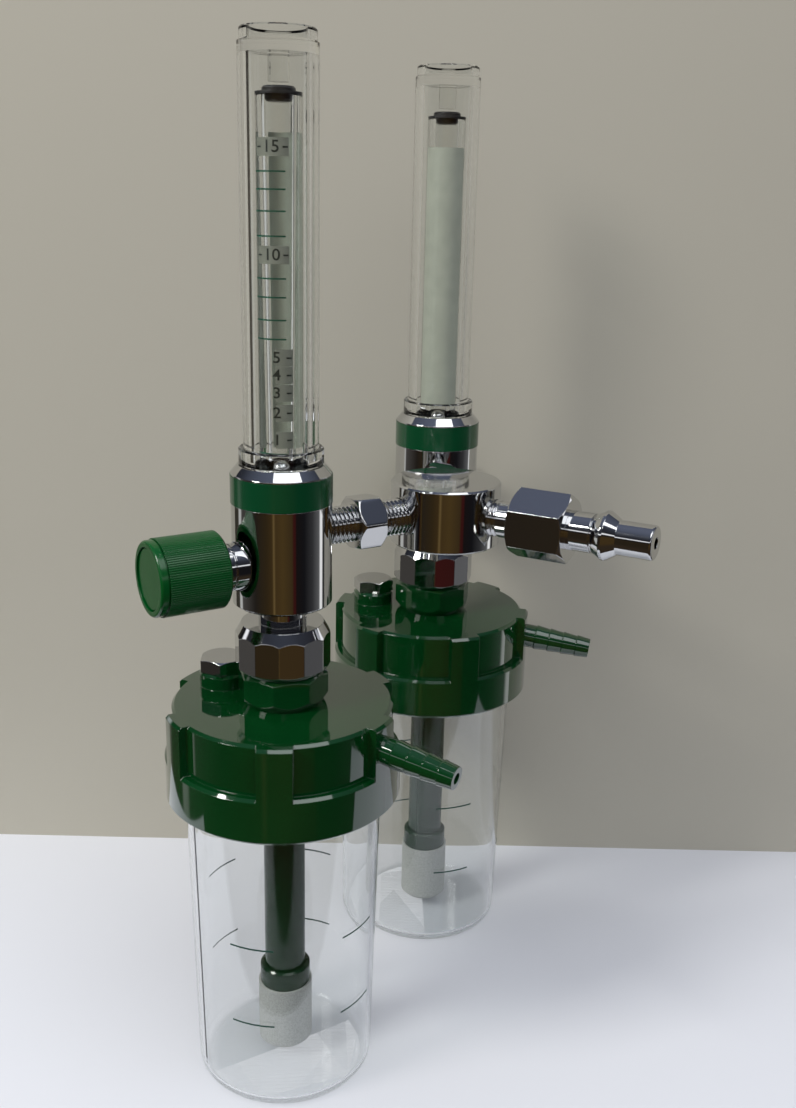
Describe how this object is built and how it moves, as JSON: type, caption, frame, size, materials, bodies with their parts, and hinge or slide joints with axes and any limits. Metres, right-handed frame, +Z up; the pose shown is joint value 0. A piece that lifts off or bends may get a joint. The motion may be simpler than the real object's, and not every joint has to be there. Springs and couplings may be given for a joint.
{
  "type": "twin oxygen flowmeter with humidifier bottles",
  "caption": "Twin oxygen flowmeter: chrome manifold with a plug-in supply probe, tube flowmeters with knob valves, and clear humidifier jars under green lids.",
  "frame": {"origin": "centre of the bounding box's bottom face, on the plane that the jars stand on", "axes": "+Z up along the metering tubes, +Y along the supply probe towards its tip, +X towards unit a"},
  "size_m": [0.2086, 0.1536, 0.3647],
  "materials": {
    "chrome": "bright chrome plate",
    "green_moulding": "glossy deep green moulding",
    "green_knob": "satin green moulding with axial flutes",
    "green_band": "bare green film",
    "clear_tube": "clear polycarbonate",
    "clear_jar": "clear polycarbonate",
    "black_plastic": "black moulding",
    "clear_rubber": "milky clear silicone",
    "black_rubber": "matt rubber",
    "steel": "polished steel",
    "brass": "turned brass",
    "porous_white": "porous off-white sinter"
  },
  "bodies": {
    "meter_frame": {"manifold_block": "chrome", "hex_nipple_a": "chrome", "hex_nipple_b": "chrome", "probe_stem": "chrome", "probe_body": "chrome", "meter_body_a": "chrome", "meter_body_b": "chrome", "valve_gland_a": "chrome", "valve_gland_b": "chrome", "outlet_tail_a": "chrome", "outlet_tail_b": "chrome", "union_nut_a": "chrome", "union_nut_b": "chrome", "inlet_nipple_a": "chrome", "inlet_nipple_b": "chrome", "relief_cap_a": "chrome", "relief_cap_b": "chrome", "humidifier_lid_a": "green_moulding", "humidifier_lid_b": "green_moulding", "inlet_collar_a": "green_moulding", "inlet_collar_b": "green_moulding", "dip_tube_a": "green_moulding", "dip_tube_b": "green_moulding", "diffuser_collar_a": "green_moulding", "diffuser_collar_b": "green_moulding", "colour_band_a": "green_band", "colour_band_b": "green_band", "tube_cover_a": "clear_tube", "tube_cover_b": "clear_tube", "metering_tube_a": "clear_tube", "metering_tube_b": "clear_tube", "tube_stop_a": "black_plastic", "tube_stop_b": "black_plastic", "union_seals": "black_rubber", "lid_gaskets": "black_rubber", "cover_seals": "clear_rubber", "tube_seats": "clear_rubber", "relief_spring_a": "steel", "relief_spring_b": "steel", "diffuser_a": "porous_white", "diffuser_b": "porous_white"},
    "seal_slide_a": {"stem_seal_a": "black_rubber"},
    "knob_set_a": {"knob_a": "green_knob", "knob_cap_a": "green_knob", "knob_screw_a": "steel", "valve_stem_a": "brass"},
    "float_a": {"float_ball_a": "steel"},
    "relief_a": {"relief_poppet_a": "brass"},
    "bottle_a": {"jar_a": "clear_jar"},
    "seal_slide_b": {"stem_seal_b": "black_rubber"},
    "knob_set_b": {"knob_b": "green_knob", "knob_cap_b": "green_knob", "knob_screw_b": "steel", "valve_stem_b": "brass"},
    "float_b": {"float_ball_b": "steel"},
    "relief_b": {"relief_poppet_b": "brass"},
    "bottle_b": {"jar_b": "clear_jar"}
  },
  "joints": [
    {"name": "valve_travel_a", "type": "slide", "parent": "meter_frame", "child": "seal_slide_a", "axis": [0.866, -0.5, 0], "range_m": [0, 0.0012]},
    {"name": "knob_turn_a", "type": "hinge", "parent": "seal_slide_a", "child": "knob_set_a", "pos_m": [0.05716, -0.03508, 0.1986], "axis": [0.866, -0.5, 0], "range_deg": [0, 540]},
    {"name": "float_rise_a", "type": "slide", "parent": "meter_frame", "child": "float_a", "axis": [0, 0, 1], "range_m": [0, 0.11]},
    {"name": "relief_lift_a", "type": "slide", "parent": "meter_frame", "child": "relief_a", "axis": [0, 0, 1], "range_m": [0, 0.0015], "stiffness_N_per_m": 200, "springref_m": -0.0027, "deforming": ["relief_spring_a"]},
    {"name": "jar_off_a", "type": "slide", "parent": "meter_frame", "child": "bottle_a", "axis": [0, 0, -1], "range_m": [0, 0.13]},
    {"name": "valve_travel_b", "type": "slide", "parent": "meter_frame", "child": "seal_slide_b", "axis": [-0.866, -0.5, 0], "range_m": [0, 0.0012]},
    {"name": "knob_turn_b", "type": "hinge", "parent": "seal_slide_b", "child": "knob_set_b", "pos_m": [-0.05716, -0.03508, 0.1986], "axis": [-0.866, -0.5, 0], "range_deg": [0, 540]},
    {"name": "float_rise_b", "type": "slide", "parent": "meter_frame", "child": "float_b", "axis": [0, 0, 1], "range_m": [0, 0.11]},
    {"name": "relief_lift_b", "type": "slide", "parent": "meter_frame", "child": "relief_b", "axis": [0, 0, 1], "range_m": [0, 0.0015], "stiffness_N_per_m": 200, "springref_m": -0.0027, "deforming": ["relief_spring_b"]},
    {"name": "jar_off_b", "type": "slide", "parent": "meter_frame", "child": "bottle_b", "axis": [0, 0, -1], "range_m": [0, 0.13]}
  ],
  "couplings": [
    {"joint": "knob_turn_a", "follows": "valve_travel_a", "rad_per_m": 7853.9},
    {"joint": "knob_turn_b", "follows": "valve_travel_b", "rad_per_m": 7853.9}
  ]
}
